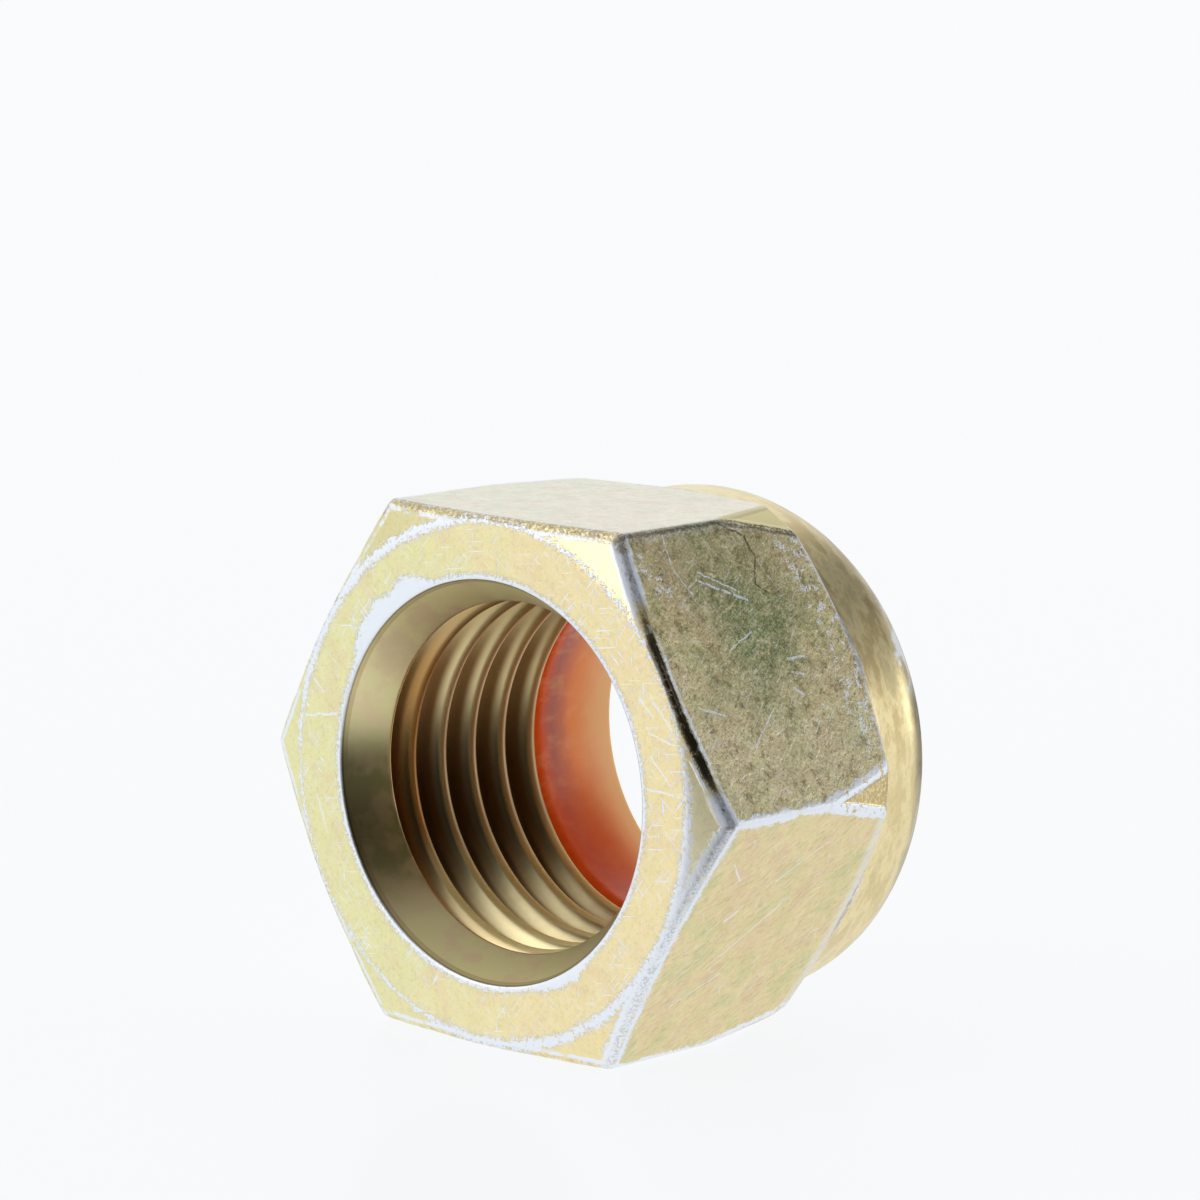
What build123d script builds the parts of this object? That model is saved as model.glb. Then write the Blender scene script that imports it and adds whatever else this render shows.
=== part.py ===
"""Nylon insert lock nut, M27 x 3, lying on one of its flats.

The nut is a steel body with a nylon ring crimped into its collar. It is modelled about
the Y axis, with the bearing face at Y = 0 and the collar at the +Y end, and is laid
down on its lowest flat at the end. All sizes are in millimetres.
"""
import math
import os

from build123d import *
from build123d.topology import SkipClean

# Hexagon
across_flats = 36.0
hexagon_length = 18.0            # bearing face to the end of the full hexagon
long_edge_radius = 0.5           # rounding along the six long edges
face_diameter = 35.0             # flat bearing face inside its chamfer
face_chamfer_angle = 17.0        # measured from the bearing face
corner_taper_length = 7.8        # the forged corners narrow over this stretch
tapered_corner_diameter = 39.8   # over the corners where the taper ends
shoulder_angle = 30.0            # chamfer from the tapered corners in to the collar

# Collar
overall_height = 27.0
collar_diameter = 35.8
crimp_length = 4.7               # the collar curves inwards over this last stretch
crimp_radius = 4.7
crimp_angle = 45.0               # how far it turns before it runs straight to the lip
lip_hole_diameter = 27.8
lip_thickness = 1.0

# Thread
thread_diameter = 27.0
thread_pitch = 3.0
thread_flank_angle = 30.0
thread_lead_in = 3.6             # the groove starts this far in front of the bearing face
countersink_diameter = 27.5
countersink_angle = 60.0         # included angle

# Nylon ring
seat_diameter = 30.8
seat_floor = 17.7                # bearing face to the shoulder that the ring stands on
nylon_bore_diameter = 24.3
nylon_lead_in = 1.0              # chamfer on the edge that the bolt meets first

# How far a cutter reaches past the face that it opens
cutter_reach = 0.5

# Radii and heights that follow from these sizes
corner_radius = across_flats / 2 / math.cos(math.radians(30))
face_radius = face_diameter / 2
tapered_radius = tapered_corner_diameter / 2
collar_radius = collar_diameter / 2
lip_hole_radius = lip_hole_diameter / 2
crimp_start = overall_height - crimp_length
lip_underside = overall_height - lip_thickness
major_radius = thread_diameter / 2
flank_slope = math.tan(math.radians(thread_flank_angle))
minor_radius = major_radius - thread_pitch / flank_slope * 5 / 16
countersink_radius = countersink_diameter / 2
countersink_depth = (countersink_radius - minor_radius) / math.tan(math.radians(countersink_angle / 2))
seat_radius = seat_diameter / 2
nylon_bore_radius = nylon_bore_diameter / 2


def rise(width, angle):
    """Height gained over a width by a slope at this angle."""
    return width * math.tan(math.radians(angle))


def turned(outline):
    """Solid swept once round the Y axis by a closed outline."""
    return revolve(make_face(outline), Axis.Y)


def hexagon_bar():
    """Hexagonal bar along Y, with its long edges rounded."""
    section = Plane.XZ.offset(-overall_height) * RegularPolygon(corner_radius, 6)
    section = fillet(section.vertices(), long_edge_radius)
    return extrude(section, overall_height)


def outer_form():
    """Round form that trims the bar: face chamfer, tapered corners, shoulder and collar."""
    chamfer_height = rise(corner_radius - face_radius, face_chamfer_angle)
    shoulder_height = rise(tapered_radius - collar_radius, shoulder_angle)
    crimp_inset = crimp_radius * (1 - math.cos(math.radians(crimp_angle)))
    crimp_rise = crimp_radius * math.sin(math.radians(crimp_angle))
    lip_inset = crimp_inset + rise(crimp_length - crimp_rise, crimp_angle)
    sides = Polyline(
        (0, 0),
        (face_radius, 0),
        (corner_radius, chamfer_height),
        (corner_radius, hexagon_length - corner_taper_length),
        (tapered_radius, hexagon_length),
        (collar_radius, hexagon_length + shoulder_height),
        (collar_radius, crimp_start),
    )
    crimp_end = (collar_radius - crimp_inset, crimp_start + crimp_rise)
    crimp = TangentArc(sides @ 1, crimp_end, tangent=(0, 1))
    end = Polyline(crimp @ 1, (collar_radius - lip_inset, overall_height), (0, overall_height), (0, 0))
    return turned(sides + crimp + end)


def seat_wall():
    """Corner points of the seat, from its floor up the wall and in to the lip hole."""
    return [(seat_radius, seat_floor), (seat_radius, crimp_start), (lip_hole_radius, lip_underside)]


def countersink():
    """Cone at the bearing face that leads the bolt into the thread."""
    flare = rise(cutter_reach, countersink_angle / 2)
    outline = Polyline(
        (0, -cutter_reach),
        (countersink_radius + flare, -cutter_reach),
        (minor_radius, countersink_depth),
        (0, countersink_depth),
        close=True,
    )
    return turned(outline)


def nylon_seat():
    """Room for the nylon ring, with the lip hole above it."""
    past_end = overall_height + cutter_reach
    outline = Polyline(
        (0, seat_floor),
        *seat_wall(),
        (lip_hole_radius, past_end),
        (0, past_end),
        close=True,
    )
    return turned(outline)


def thread_groove():
    """Right-hand helical groove with a sharp root, from the countersink to the ring's seat."""
    reach = seat_floor + thread_lead_in + thread_pitch / 2
    path = Helix(pitch=thread_pitch, height=reach, radius=minor_radius)
    inside = minor_radius - cutter_reach
    apex = major_radius + thread_pitch / 16 / flank_slope
    half_mouth = (apex - inside) * flank_slope
    profile = Polyline((inside, 0, -half_mouth), (apex, 0, 0), (inside, 0, half_mouth), close=True)
    groove = sweep(make_face(profile), path=path, is_frenet=True)
    groove = Pos(0, -thread_lead_in, 0) * Rot(-90, 0, 0) * groove
    threaded_stretch = Polyline(
        (0, countersink_depth),
        (major_radius + cutter_reach, countersink_depth),
        (major_radius + cutter_reach, overall_height),
        (0, overall_height),
        close=True,
    )
    return groove & turned(threaded_stretch)


def tapping_bore():
    """Drilled hole right through, at the inside diameter of the thread."""
    start = -thread_lead_in - thread_pitch
    outline = Polyline(
        (0, start),
        (minor_radius, start),
        (minor_radius, overall_height),
        (0, overall_height),
        close=True,
    )
    return turned(outline)


def nut_body():
    """Steel body: the turned bar with its bore, thread, countersink and ring seat cut out.

    The hole is cut one half at a time, which leaves every turn of the thread's crest as
    two short faces, so that the wall between the grooves can be measured as a bore.
    """
    body = hexagon_bar() & outer_form()
    hole = tapping_bore() + thread_groove() + countersink() + nylon_seat()
    with SkipClean():
        for half in hole.split(Plane.XY, keep=Keep.BOTH):
            body -= half
    return body


def nylon_insert():
    """Nylon ring that fills its seat and grips the bolt."""
    outline = Polyline(
        (nylon_bore_radius + nylon_lead_in, seat_floor),
        *seat_wall(),
        (nylon_bore_radius, lip_underside),
        (nylon_bore_radius, seat_floor + nylon_lead_in),
        close=True,
    )
    return turned(outline)


def main():
    """Build both pieces, lay them on a flat and write one STEP file for each."""
    laid_down = Pos(0, -overall_height / 2, across_flats / 2)
    os.makedirs("parts", exist_ok=True)
    for name, piece in {"nut_body": nut_body(), "nylon_insert": nylon_insert()}.items():
        placed = laid_down * piece
        placed.label = name
        export_step(placed, f"parts/{name}.step")
        print(name, round(placed.volume, 2), placed.is_valid, len(placed.solids()))


main()
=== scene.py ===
"""Nylon insert lock nut, M27 x 3, lying on one of its flats in a white studio."""
from __future__ import annotations

import logging
import math
from dataclasses import dataclass
from enum import Enum
from functools import reduce

import bpy
from mathutils import Matrix, Vector, noise

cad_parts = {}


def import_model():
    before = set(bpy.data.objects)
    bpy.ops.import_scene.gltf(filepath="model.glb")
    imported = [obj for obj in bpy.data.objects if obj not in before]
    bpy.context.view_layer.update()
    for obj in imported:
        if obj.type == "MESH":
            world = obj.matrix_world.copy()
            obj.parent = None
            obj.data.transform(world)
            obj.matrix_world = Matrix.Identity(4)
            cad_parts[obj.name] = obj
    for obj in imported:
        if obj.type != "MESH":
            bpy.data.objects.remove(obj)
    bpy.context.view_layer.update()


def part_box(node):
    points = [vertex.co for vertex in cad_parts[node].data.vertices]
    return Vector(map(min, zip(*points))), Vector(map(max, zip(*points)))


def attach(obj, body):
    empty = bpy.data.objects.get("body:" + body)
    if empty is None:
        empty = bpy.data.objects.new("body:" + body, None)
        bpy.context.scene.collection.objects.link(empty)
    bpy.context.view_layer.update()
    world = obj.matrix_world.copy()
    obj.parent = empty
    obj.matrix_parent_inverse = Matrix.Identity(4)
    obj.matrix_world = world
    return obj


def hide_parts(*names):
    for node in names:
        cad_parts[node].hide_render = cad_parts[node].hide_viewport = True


LOG = logging.getLogger("lock_nut")
MM = 0.001
FULL_TURN = 2 * math.pi


class Axis(Enum):
    """Directions that something is turned round."""

    Y = (0.0, 1.0, 0.0)
    Z = (0.0, 0.0, 1.0)


# ---------------------------------------------------------------- bench tools


def deselect() -> None:
    """Leave edit mode and let go of every object."""
    if bpy.context.object and bpy.context.object.mode != "OBJECT":
        bpy.ops.object.mode_set(mode="OBJECT")
    bpy.ops.object.select_all(action="DESELECT")


def take(piece: bpy.types.Object) -> None:
    """Make one object the selected and active one.

    Args:
        piece: the object to work on.
    """
    deselect()
    piece.select_set(True)
    bpy.context.view_layer.objects.active = piece


def tidy_normals(piece: bpy.types.Object, gap: float = 1e-6) -> None:
    """Weld coincident vertices and turn every face outwards.

    Args:
        piece: the mesh object.
        gap: vertices closer than this are welded, in metres.
    """
    take(piece)
    bpy.ops.object.mode_set(mode="EDIT")
    bpy.ops.mesh.select_all(action="SELECT")
    bpy.ops.mesh.remove_doubles(threshold=gap)
    bpy.ops.mesh.normals_make_consistent(inside=False)
    bpy.ops.object.mode_set(mode="OBJECT")


def lathe(name: str, outline: list[tuple[float, float]], steps: int) -> bpy.types.Object:
    """Spin a closed outline once round the Y axis.

    Args:
        name: the object's name.
        outline: corner points as (radius, height) in metres, in order round the section.
        steps: how many segments the turn has.

    Returns:
        The turned ring, welded and with its normals outwards.
    """
    deselect()
    bpy.ops.mesh.primitive_circle_add(vertices=len(outline), fill_type="NOTHING")
    piece = bpy.context.object
    piece.name = name
    for vertex, (radius, height) in zip(piece.data.vertices, outline):
        vertex.co = (radius, height, 0.0)
    bpy.ops.object.mode_set(mode="EDIT")
    bpy.ops.mesh.select_all(action="SELECT")
    bpy.ops.mesh.spin(steps=steps, angle=FULL_TURN, center=(0, 0, 0), axis=Axis.Y.value)
    bpy.ops.object.mode_set(mode="OBJECT")
    tidy_normals(piece)
    return piece


def arc(
    centre: tuple[float, float], radius: float, start: float, end: float, steps: int
) -> list[tuple[float, float]]:
    """Points along a round stretch of an outline.

    Args:
        centre: its centre as (radius, height).
        radius: its radius.
        start: angle of the first point in degrees, from the outward direction.
        end: angle of the last point in degrees.
        steps: number of segments.

    Returns:
        The points in order, with both ends.
    """
    turn = [math.radians(start + (end - start) * k / steps) for k in range(steps + 1)]
    return [(centre[0] + radius * math.cos(a), centre[1] + radius * math.sin(a)) for a in turn]


def smooth_max(a: float, b: float, reach: float) -> float:
    """Larger of two values, with the corner between them rounded.

    Args:
        a: first value.
        b: second value.
        reach: how far apart the values are when the rounding starts.

    Returns:
        The rounded maximum.
    """
    overlap = max(reach - abs(a - b), 0.0) / reach
    return max(a, b) + overlap * overlap * reach / 4


def smooth_min(a: float, b: float, reach: float) -> float:
    """Smaller of two values, with the corner between them rounded.

    Args:
        a: first value.
        b: second value.
        reach: how far apart the values are when the rounding starts.

    Returns:
        The rounded minimum.
    """
    return -smooth_max(-a, -b, reach)


def smooth_window(value: float, start: float, end: float, fade: float) -> float:
    """One between two values and zero away from them.

    Args:
        value: where to look.
        start: the window's lower side.
        end: the window's upper side.
        fade: how far each side takes to fade.

    Returns:
        A number from 0 to 1.
    """
    inside = min(value - start, end - value) / fade + 0.5
    clamped = min(max(inside, 0.0), 1.0)
    return clamped * clamped * (3 - 2 * clamped)


@dataclass(frozen=True)
class Corner:
    """Rounded corner of an outline, with as many steps whatever its place.

    The rounding reaches as far along both sides and has the given steps; stretch is the number of
    steps that lead up to it.
    """

    place: tuple[float, float]
    reach: float
    steps: int
    stretch: int


def rounded(
    start: tuple[float, float], corners: list[Corner], end: tuple[float, float]
) -> list[tuple[float, float]]:
    """Run of points through rounded corners.

    Args:
        start: the point that the run leaves, not repeated in it.
        corners: the corners in order.
        end: the point that the run heads for after the last corner, not included.

    Returns:
        Points as (radius, height).
    """
    places = [Vector(start), *(Vector(corner.place) for corner in corners), Vector(end)]
    run: list[tuple[float, float]] = []
    last = places[0]
    for corner, before, here, after in zip(corners, places, places[1:], places[2:]):
        back, on = before - here, after - here
        near = min(corner.reach, 0.45 * back.length, 0.45 * on.length)
        enter, leave = here + back.normalized() * near, here + on.normalized() * near
        for k in range(1, corner.stretch + 1):
            run.append(tuple(last.lerp(enter, k / corner.stretch)))
        for k in range(1, corner.steps + 1):
            t = k / corner.steps
            run.append(tuple(enter * (1 - t) ** 2 + here * 2 * t * (1 - t) + leave * t * t))
        last = leave
    return run


# ---------------------------------------------------------------- the two pieces


@dataclass
class NutBody:
    """Steel body with hexagon, chamfers, countersink, thread, seat and crimped collar."""

    node: str = "nut_body"
    slot: str = "plated_steel"
    # hexagon
    across_flats: float = 36.0 * MM
    hexagon_length: float = 18.0 * MM
    long_edge_radius: float = 0.6 * MM
    face_radius: float = 17.5 * MM
    face_chamfer_angle: float = 17.0
    taper_start: float = 10.2 * MM
    tapered_radius: float = 19.9 * MM
    shoulder_angle: float = 30.0
    # collar
    overall_height: float = 27.0 * MM
    collar_radius: float = 17.9 * MM
    crimp_length: float = 4.7 * MM
    crimp_radius: float = 4.7 * MM
    crimp_angle: float = 45.0
    lip_hole_radius: float = 13.9 * MM
    lip_thickness: float = 1.0 * MM
    # hole
    countersink_radius: float = 13.75 * MM
    countersink_half_angle: float = 30.0
    major_radius: float = 13.5 * MM
    minor_radius: float = 11.876 * MM
    pitch: float = 3.0 * MM
    flank_angle: float = 30.0
    lead_in: float = 3.6 * MM
    groove_lead: float = 0.10 * MM
    groove_ease: float = 0.30 * MM
    seat_radius: float = 15.4 * MM
    seat_floor: float = 17.7 * MM
    # roundings
    crest_round: float = 0.80 * MM
    root_round: float = 0.90 * MM
    rim_round: float = 0.14 * MM
    # unevenness: its height, then its lengths or where it starts, ends and fades
    wave: float = 0.035 * MM
    long_wave: float = 4.5 * MM
    short_wave: float = 1.6 * MM
    burr: float = 0.004 * MM
    burred_heights: tuple[float, float, float] = (1.6 * MM, 5.2 * MM, 0.9 * MM)
    burred_depths: tuple[float, float, float] = (-0.2 * MM, 0.45 * MM, 0.3 * MM)
    # mesh
    even_columns: int = 288
    bore_rows: int = 176
    first_row: float = 0.35 * MM

    @property
    def corner_radius(self) -> float:
        """Half the width over the sharp corners."""
        return self.across_flats / math.sqrt(3)

    @property
    def taper(self) -> float:
        """How much radius the long edges lose for each length towards the collar."""
        return (self.corner_radius - self.tapered_radius) / (self.hexagon_length - self.taper_start)

    @property
    def crimp_start(self) -> float:
        """Height at which the collar starts to turn in."""
        return self.overall_height - self.crimp_length

    @property
    def lip_underside(self) -> float:
        """Height at which the lip ends inside."""
        return self.overall_height - self.lip_thickness

    def columns(self) -> list[float]:
        """Angles of the mesh's columns, closer together at the six long edges.

        Returns:
            Angles in radians over one full turn, the last equal to the first.
        """
        even = [360.0 * i / self.even_columns for i in range(self.even_columns + 1)]
        close = [60.0 * k + side * d for k in range(7) for side in (-1, 1) for d in (0.25, 0.5, 0.75, 1.0)]
        return [math.radians(a) for a in sorted(even + [a for a in close if 0 < a < 360])]

    def hexagon_radius(self, angle: float) -> float:
        """Distance from the axis to the hexagon with its long edges rounded.

        Args:
            angle: direction in radians; the corners are at multiples of 60 degrees.

        Returns:
            The radius in that direction.
        """
        sixth = FULL_TURN / 6
        half_flats = self.across_flats / 2
        off = abs((angle + sixth / 2) % sixth - sixth / 2)
        inner = half_flats - self.long_edge_radius
        bend = sixth / 2 - math.atan(inner * math.tan(sixth / 2) / half_flats)
        if off > bend:
            return half_flats / math.cos(sixth / 2 - off)
        middle = inner / math.cos(sixth / 2)
        return middle * math.cos(off) + math.sqrt(self.long_edge_radius**2 - (middle * math.sin(off)) ** 2)

    def wall_radius(self, angle: float, height: float) -> float:
        """Radius of the tapped and countersunk wall.

        Args:
            angle: position round the axis, in the sense in which the thread climbs.
            height: distance from the bearing face.

        Returns:
            Distance from the axis to the metal.
        """
        turns = (height + self.lead_in) / self.pitch - angle / FULL_TURN
        off_centre = abs(turns - round(turns)) * self.pitch
        flank = math.tan(math.radians(self.flank_angle))
        apex = self.major_radius + self.pitch / 16 / flank
        groove = smooth_min(apex - off_centre / flank, self.major_radius, self.root_round)
        thread = smooth_max(groove, self.minor_radius, self.crest_round)
        lean = math.tan(math.radians(self.countersink_half_angle))
        depth = (self.countersink_radius - self.minor_radius) / lean
        started = min(max((height - depth + self.groove_lead) / self.groove_ease, 0.0), 1.0)
        thread = self.minor_radius + (thread - self.minor_radius) * started
        spot = Vector((math.cos(angle), math.sin(angle), height / self.minor_radius))
        chatter = noise.noise(spot * 40.0) * smooth_window(height, *self.burred_heights)
        ridge = smooth_window(thread - self.minor_radius, *self.burred_depths)
        thread += self.burr * (chatter * (0.35 + ridge) + 0.12 * noise.noise(spot * 9.0))
        return smooth_max(thread, self.countersink_radius - height * lean, self.rim_round)

    def section(self, angle: float) -> list[tuple[float, float]]:
        """Closed section of the body in one direction, from the seat floor through the bore and round.

        Args:
            angle: direction in radians.

        Returns:
            Points as (radius, height), as many in every direction.
        """
        hexagon, collar, top = self.hexagon_radius(angle), self.collar_radius, self.overall_height
        chamfer = math.tan(math.radians(self.face_chamfer_angle))
        shoulder = math.tan(math.radians(self.shoulder_angle))
        flat_end = self.hexagon_length + max(self.tapered_radius - hexagon, 0) * shoulder
        reached = self.hexagon_length - (hexagon - self.tapered_radius) / self.taper
        shoulder_end = self.hexagon_length + (self.tapered_radius - collar) * shoulder
        bend = math.radians(self.crimp_angle)
        straight = self.crimp_length - self.crimp_radius * math.sin(bend)
        drop = self.crimp_radius * (1 - math.cos(bend)) + straight * math.tan(bend)
        around = Vector((math.cos(angle), math.sin(angle), 0))
        ragged = 0.5 + 0.9 * noise.noise(around * 7.0) + 0.5 * noise.noise(around * 21.0)
        outside = [
            Corner((self.countersink_radius, 0.0), 0.16 * MM, 4, 1),
            Corner((self.face_radius, 0.0), (0.30 + 0.12 * ragged) * MM, 4, 8),
            Corner((hexagon, (hexagon - self.face_radius) * chamfer), (0.42 + 0.22 * ragged) * MM, 5, 4),
            Corner((hexagon, min(reached, flat_end - 0.6 * MM)), 0.5 * MM, 3, 16),
            Corner((min(hexagon, self.tapered_radius), flat_end), (0.35 + 0.15 * ragged) * MM, 4, 4),
            Corner((collar, shoulder_end), 0.35 * MM, 4, 2),
            Corner((collar, self.crimp_start), 0.0, 0, 5),
        ]
        lip = [
            Corner((collar - drop, top), (0.30 + 0.1 * ragged) * MM, 4, 3),
            Corner((self.lip_hole_radius, top), 0.25 * MM, 4, 2),
            Corner((self.lip_hole_radius, self.lip_underside), 0.1 * MM, 1, 2),
            Corner((self.seat_radius, self.crimp_start), 0.1 * MM, 1, 2),
            Corner((self.seat_radius, self.seat_floor), 0.1 * MM, 1, 3),
        ]
        bore = [(self.wall_radius(angle, height), height) for height in self.heights()]
        points = bore + rounded(bore[-1], outside, (collar, top))
        centre = (collar - self.crimp_radius, self.crimp_start)
        points += arc(centre, self.crimp_radius, 0, self.crimp_angle, 12)[1:]
        points += rounded(points[-1], lip, bore[0])
        return points + [((self.seat_radius + bore[0][0]) / 2, self.seat_floor), bore[0]]

    def heights(self) -> list[float]:
        """Heights of the rows in the bore, from the seat floor down to just above the rim."""
        fall = (self.first_row - self.seat_floor) / self.bore_rows
        return [self.seat_floor + fall * row for row in range(self.bore_rows + 1)]

    def lay(self, point: Vector) -> Vector:
        """Give the outer surfaces the slight unevenness of forged and barrelled metal.

        Args:
            point: a vertex of the even form.

        Returns:
            Its final place.
        """
        radius = math.hypot(point.x, point.z)
        if radius < self.face_radius - 0.4 * MM or point.y < 0.9 * MM:
            return point
        broad = noise.noise(point / self.long_wave)
        small = noise.noise(point / self.short_wave + Vector((7, 3, 5)))
        push = self.wave * (0.75 * broad + 0.25 * small - 0.6)
        return point + Vector((point.x, 0, point.z)) * (push / radius)

    def build(self) -> bpy.types.Object:
        """Roll a grid into the closed body about the Y axis and put it in its place.

        Returns:
            The finished mesh object, riding on the part's body.
        """
        angles = self.columns()
        angles[-1] = 0.0
        sections = [self.section(angle) for angle in angles]
        columns, rows = len(angles) - 1, len(sections[0]) - 1
        deselect()
        bpy.ops.mesh.primitive_grid_add(x_subdivisions=columns, y_subdivisions=rows, size=1)
        body = bpy.context.object
        for vertex in body.data.vertices:
            column = round((vertex.co.x + 0.5) * columns)
            radius, height = sections[column][round((vertex.co.y + 0.5) * rows)]
            turn = angles[column]
            vertex.co = self.lay(Vector((radius * math.cos(turn), height, -radius * math.sin(turn))))
        tidy_normals(body)
        return finish_piece(body, "steel_body", self.node, self.slot)


@dataclass
class NylonRing:
    """Nylon locking ring that fills the body's seat under the crimped lip."""

    node: str = "nylon_insert"
    slot: str = "nylon"
    segments: int = 192
    bore_radius: float = 12.15 * MM
    lead_radius: float = 1.0 * MM
    back_radius: float = 0.4 * MM

    def build(self, seat: NutBody) -> bpy.types.Object:
        """Turn the ring and put it in its place.

        Args:
            seat: the body that it sits in.

        Returns:
            The finished mesh object, riding on the part's body.
        """
        lead = (self.bore_radius + self.lead_radius, seat.seat_floor + self.lead_radius)
        back = (self.bore_radius + self.back_radius, seat.lip_underside - self.back_radius)
        outline = [
            (seat.seat_radius, seat.seat_floor),
            (seat.seat_radius, seat.crimp_start),
            (seat.lip_hole_radius, seat.lip_underside),
            *arc(back, self.back_radius, 90, 180, 5),
            *arc(lead, self.lead_radius, 180, 270, 8),
        ]
        ring = lathe("nylon_blank", outline, self.segments)
        return finish_piece(ring, "nylon_ring", self.node, self.slot)


def finish_piece(piece: bpy.types.Object, name: str, node: str, slot: str) -> bpy.types.Object:
    """Smooth a piece, lay it in its place and hand it to the part's body.

    Args:
        piece: mesh object modelled about the Y axis, from the bearing face up.
        name: its final name.
        node: the solid that it stands for.
        slot: the record's material slot; not used.

    Returns:
        The same object.
    """
    take(piece)
    bpy.ops.object.shade_smooth()
    bpy.ops.object.modifier_add(type="WEIGHTED_NORMAL")
    bpy.ops.object.modifier_apply(modifier=piece.modifiers[-1].name)
    low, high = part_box("nut_body")
    piece.data.transform(Matrix.Translation((0, low.y, (low.z + high.z) / 2)))
    piece.name = name
    piece.data.name = name
    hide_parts(node)
    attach(piece, "root")
    LOG.info("%s: %d faces", name, len(piece.data.polygons))
    return piece


# ---------------------------------------------------------------- finishes

Colour = tuple[float, float, float, float]
Socket = bpy.types.NodeSocket


class Graph:
    """Thin layer over a node tree, so that a finish reads as arithmetic."""

    def __init__(self, tree: bpy.types.NodeTree) -> None:
        """Start from an empty tree.

        Args:
            tree: the node tree to fill.
        """
        self.tree = tree
        tree.nodes.clear()

    def node(self, kind: str, inputs: tuple = (), **settings: object) -> bpy.types.Node:
        """Add a node, set its properties and feed its inputs in order.

        Args:
            kind: the node's type name.
            inputs: values or sockets for its first inputs; None leaves one alone.
            settings: its properties.

        Returns:
            The new node.
        """
        made = self.tree.nodes.new(kind)
        for key, value in settings.items():
            setattr(made, key, value)
        for socket, value in zip(made.inputs, inputs):
            if value is not None:
                self.feed(socket, value)
        return made

    def feed(self, socket: Socket, value: object) -> None:
        """Link a socket, or set its value.

        Args:
            socket: the input socket.
            value: another node's output, or a number, vector or colour.
        """
        if isinstance(value, bpy.types.NodeSocket):
            self.tree.links.new(value, socket)
        else:
            socket.default_value = value

    def math(self, operation: str, *values: object) -> Socket:
        """Number from numbers by the named operation."""
        return self.node("ShaderNodeMath", values, operation=operation).outputs[0]

    def fold(self, operation: str, values: tuple) -> Socket:
        """Number from one or more numbers, by one operation after another."""
        return reduce(lambda total, value: self.math(operation, total, value), values)

    def add(self, *values: object) -> Socket:
        """Sum of one or more numbers."""
        return self.fold("ADD", values)

    def mul(self, *values: object) -> Socket:
        """Product of one or more numbers."""
        return self.fold("MULTIPLY", values)

    def most(self, *values: object) -> Socket:
        """Largest of one or more numbers."""
        return self.fold("MAXIMUM", values)

    def least(self, *values: object) -> Socket:
        """Smallest of one or more numbers."""
        return self.fold("MINIMUM", values)

    def sub(self, a: object, b: object) -> Socket:
        """Difference of two numbers."""
        return self.math("SUBTRACT", a, b)

    def size(self, value: object) -> Socket:
        """Number without its sign."""
        return self.math("ABSOLUTE", value)

    def step(self, value: object, start: float, end: float) -> Socket:
        """Smooth step from 0 at start to 1 at end, where end may be the smaller.

        Args:
            value: the number that is looked at.
            start: where the step is still 0.
            end: where it has reached 1.

        Returns:
            A number from 0 to 1.
        """
        rising = start < end
        ends = (min(start, end), max(start, end), 0.0 if rising else 1.0, 1.0 if rising else 0.0)
        made = self.node("ShaderNodeMapRange", (value, *ends), interpolation_type="SMOOTHSTEP")
        return made.outputs["Result"]

    def band(self, value: object, centre: object, half: float, soft: float) -> Socket:
        """One within half of the centre, and zero where soft more have passed on either side."""
        return self.step(self.size(self.sub(value, centre)), half + soft, half)

    def vector(self, x: object, y: object, z: object = 0.0) -> Socket:
        """A vector from three numbers."""
        return self.node("ShaderNodeCombineXYZ", (x, y, z)).outputs[0]

    def vector_math(self, operation: str, *values: object) -> bpy.types.Node:
        """A vector math node with its first inputs fed."""
        return self.node("ShaderNodeVectorMath", values, operation=operation)

    def noise(self, vector: object, scale: float, detail: float = 3.0, rough: float = 0.55) -> Socket:
        """Cloudy number about one half.

        Args:
            vector: the coordinates in millimetres.
            scale: clouds per millimetre.
            detail: octaves.
            rough: strength of the fine octaves.

        Returns:
            The pattern.
        """
        made = self.node("ShaderNodeTexNoise", (vector,))
        made.inputs["Scale"].default_value = scale
        made.inputs["Detail"].default_value = detail
        made.inputs["Roughness"].default_value = rough
        return made.outputs["Fac"]

    def turned(self, vector: object, turn: float) -> Socket:
        """Coordinates turned about Z, so that the direction given in degrees becomes their X."""
        inputs = (vector, None, None, math.radians(-turn))
        return self.node("ShaderNodeVectorRotate", inputs, rotation_type="Z_AXIS").outputs[0]

    def slant(self, vector: object, turn: float, longer: float) -> Socket:
        """Coordinates that draw a pattern out so many times longer along a direction in degrees."""
        return self.vector_math("MULTIPLY", self.turned(vector, turn), (1 / longer, 1, 1)).outputs[0]

    def hairs(self, vector: object, turn: float, length: float, width: float, share: float) -> Socket:
        """Short straight scratches, all in one direction of the pattern's X-Y plane.

        Args:
            vector: the coordinates in millimetres.
            turn: their direction in degrees.
            length: their rough length.
            width: their rough width.
            share: how full of them the surface is, from 0 to 1.

        Returns:
            A number from 0 to 1, one on a scratch.
        """
        drawn = self.vector_math("MULTIPLY", self.turned(vector, turn), (1 / length, 1 / width, 0.2))
        cloud = self.noise(drawn.outputs[0], 0.5, 1.0, 0.4)
        return self.step(cloud, 0.76 - 0.2 * share, 0.80 - 0.2 * share)

    def mix(self, share: object, under: object, over: object) -> Socket:
        """Lay one colour over another.

        Args:
            share: how much of the upper colour shows.
            under: the lower colour.
            over: the upper colour.

        Returns:
            The mixed colour.
        """
        made = self.node("ShaderNodeMix", data_type="RGBA")
        for index, value in ((0, share), (6, under), (7, over)):
            self.feed(made.inputs[index], value)
        return made.outputs[2]

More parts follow.
